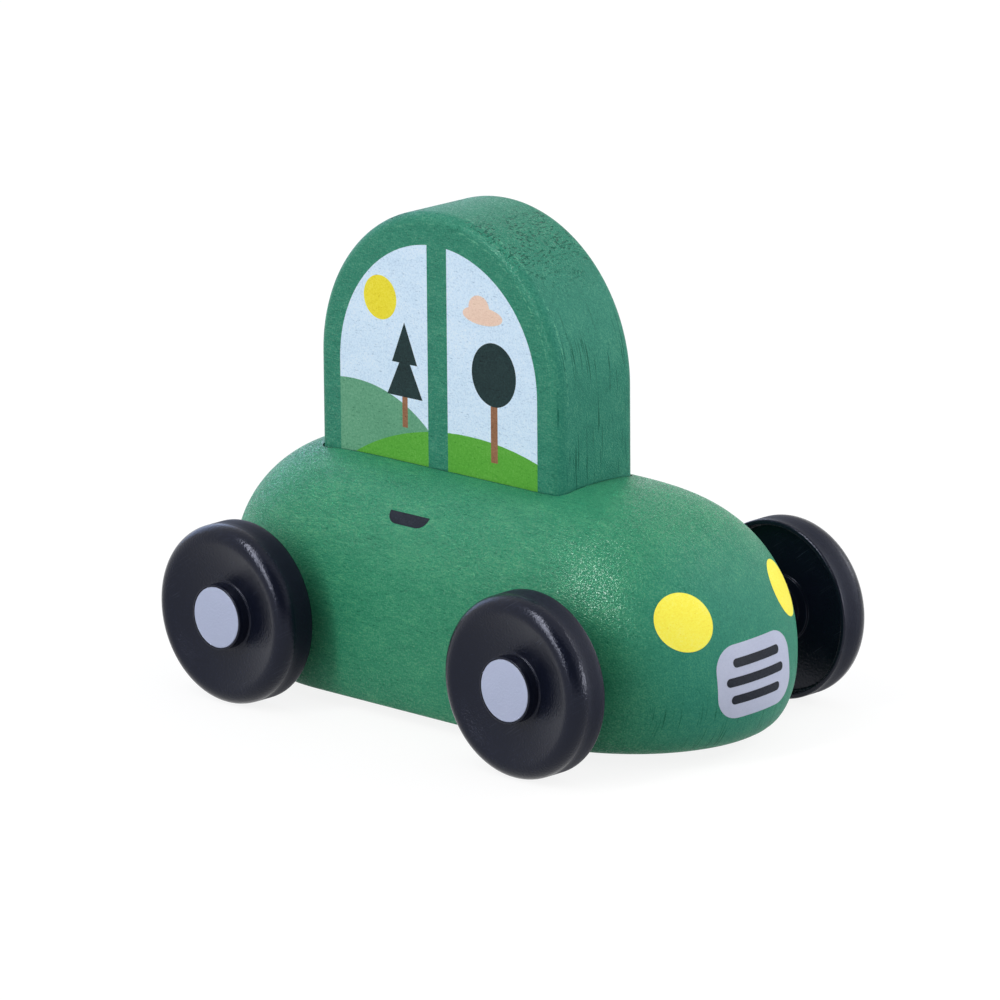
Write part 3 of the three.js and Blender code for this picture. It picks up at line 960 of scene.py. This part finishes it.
studio = {
    "azimuth": math.radians(43.497), "elevation": math.radians(14.742), "roll": math.radians(-0.464),
    "distance": 1.32587, "lens": 292.2, "sensor": 36.0, "clipEnd": 20,
    "aim": (0, 0, 20.625 * mm), "shiftRight": -1.78 * mm, "shiftUp": 12.39 * mm,
    "floor": 6.0, "paperGrey": 0.5, "shadowGrey": 0.16, "paperGlow": 0.865, "fill": 0.74,
    "darkSide": (0.64, -0.66, 0.40), "darkNear": 0.90, "darkFar": 0.66,   # unlit room behind the camera
    "darkRoom": 0.06, "cardSoft": 0.5,
    "lampAim": (0, 0, 0.03),
}
# place, width, height, power and colour of each softbox, in metres and watts
lamps = {
    "frontSoftbox": ((-0.12, -0.86, 0.74), 0.14, 1.30, 5.0, "#ffffff"),
    "farSoftbox": ((0.45, 0.90, 0.60), 0.60, 0.60, 4.2, "#ffffff"),
    "noseSoftbox": ((1.00, 0.46, 0.20), 0.30, 0.36, 0.9, "#ffffff"),
    "tailSoftbox": ((-1.06, 0.36, 0.42), 1.00, 0.60, 2.4, "#90b8ff"),
}
# bright cards for reflections: the directions of both ends, half the width, and strength
cards = {
    "frontCard": ((-0.14, -0.44, 0.88), (0.07, -0.97, 0.22), math.radians(5), 19.0),
    "noseCard": ((0.76, 0.58, 0.28), (0.92, 0.38, -0.04), math.radians(5), 16.5),
}


def setCamera():
    s = studio
    back = Vector((math.sin(s["azimuth"]) * math.cos(s["elevation"]),
                   -math.cos(s["azimuth"]) * math.cos(s["elevation"]), math.sin(s["elevation"])))
    level = Vector((math.cos(s["azimuth"]), math.sin(s["azimuth"]), 0))
    upright = back.cross(level)
    right = level * math.cos(s["roll"]) + upright * math.sin(s["roll"])
    up = upright * math.cos(s["roll"]) - level * math.sin(s["roll"])
    place = Vector(s["aim"]) + right * s["shiftRight"] + up * s["shiftUp"] + back * s["distance"]
    data = bpy.data.cameras.new("studioCamera")
    data.sensor_fit = "HORIZONTAL"
    data.sensor_width = s["sensor"]
    data.lens = s["lens"]
    data.clip_end = s["clipEnd"]
    camera = bpy.data.objects.new("studioCamera", data)
    camera.matrix_world = Matrix.Translation(place) @ Matrix((right, up, back)).transposed().to_4x4()
    bpy.context.collection.objects.link(camera)
    bpy.context.scene.camera = camera


def addLamp(name, place, wide, tall, power, colour):
    data = bpy.data.lights.new(name, "AREA")
    data.shape = "RECTANGLE"
    data.size = wide
    data.size_y = tall
    data.energy = power
    data.color = hexLinear(colour)[:3]
    lamp = bpy.data.objects.new(name, data)
    aimed = (Vector(place) - Vector(studio["lampAim"])).to_track_quat("Z", "Y").to_matrix().to_4x4()
    lamp.matrix_world = Matrix.Translation(place) @ aimed
    bpy.context.collection.objects.link(lamp)


# which rays see the white background: those of the camera, and reflections and refractions of it
def seenDirectly(tree):
    ray = addNode(tree, "LightPath")
    seen = ray.outputs["Is Camera Ray"]
    for kind in ("Is Glossy Ray", "Is Transmission Ray"):
        seen = addNode(tree, "Math", {0: seen, 1: ray.outputs[kind]}, operation="MAXIMUM")
    return seen


# white paper floor: white where it is seen, with the car's soft shadow still on it
def paperFloor():
    s = studio
    material, tree = newMaterial("whitePaper")
    paper = addNode(tree, "BsdfDiffuse", {"Color": [s["paperGrey"]] * 3 + [1]})
    faint = addNode(tree, "BsdfDiffuse", {"Color": [s["shadowGrey"]] * 3 + [1]})
    glow = addNode(tree, "Emission", {"Color": (1, 1, 1, 1), "Strength": s["paperGlow"]})
    shown = addNode(tree, "AddShader", {0: faint, 1: glow})
    mixed = addNode(tree, "MixShader", {0: seenDirectly(tree), 1: paper, 2: shown})
    finishMaterial(tree, mixed)
    bm = bmesh.new()
    bmesh.ops.create_grid(bm, x_segments=1, y_segments=1, size=s["floor"])
    floor = newPiece("paperFloor", bm, material)


# a card's glow by the way a ray goes: within its width of the great circle through both ends
def cardGlow(tree, way, top, foot, halfWidth, strength):
    top, foot = Vector(top).normalized(), Vector(foot).normalized()
    reach = top.angle(foot) / 2
    soft = studio["cardSoft"] * halfWidth
    aside = addNode(tree, "VectorMath", {0: way, 1: top.cross(foot).normalized()},
                    operation="DOT_PRODUCT")
    apart = addNode(tree, "Math", {0: aside}, operation="ABSOLUTE")
    across = addNode(tree, "MapRange", {
        "Value": apart, "From Min": math.sin(halfWidth + soft),
        "From Max": math.sin(halfWidth - soft)})
    near = addNode(tree, "VectorMath", {0: way, 1: (top + foot).normalized()}, operation="DOT_PRODUCT")
    along = addNode(tree, "MapRange", {
        "Value": near, "From Min": math.cos(reach + halfWidth),
        "From Max": math.cos(reach), "To Max": strength})
    return addNode(tree, "Math", {0: across, 1: along}, operation="MULTIPLY")


# a white surround where it is seen, dark behind the camera, and a weaker fill for the lighting
def paleWorld():
    s = studio
    world = bpy.data.worlds.new("paleStudio")
    world.use_nodes = True
    tree = world.node_tree
    tree.nodes.clear()
    way = addNode(tree, "TexCoord").outputs["Generated"]
    backward = addNode(tree, "VectorMath", {
        0: way, 1: Vector(s["darkSide"]).normalized()}, operation="DOT_PRODUCT")
    room = addNode(tree, "MapRange", {
        "Value": backward, "From Min": s["darkFar"], "From Max": s["darkNear"],
        "To Min": 1.0, "To Max": s["darkRoom"]}, interpolation_type="SMOOTHSTEP")
    for card in cards.values():
        glow = cardGlow(tree, way, *card)
        room = addNode(tree, "Math", {0: room, 1: glow}, operation="ADD")
    strength = addNode(tree, "Mix", {"Factor": seenDirectly(tree), "A": s["fill"], "B": room})
    sky = addNode(tree, "Background", {"Color": (1, 1, 1, 1), "Strength": strength})
    addNode(tree, "OutputWorld", {"Surface": sky})
    bpy.context.scene.world = world


setCamera()
paperFloor()
paleWorld()
for name, lamp in lamps.items():
    addLamp(name, *lamp)
bpy.context.scene.view_settings.view_transform = "Standard"
print("studio set")
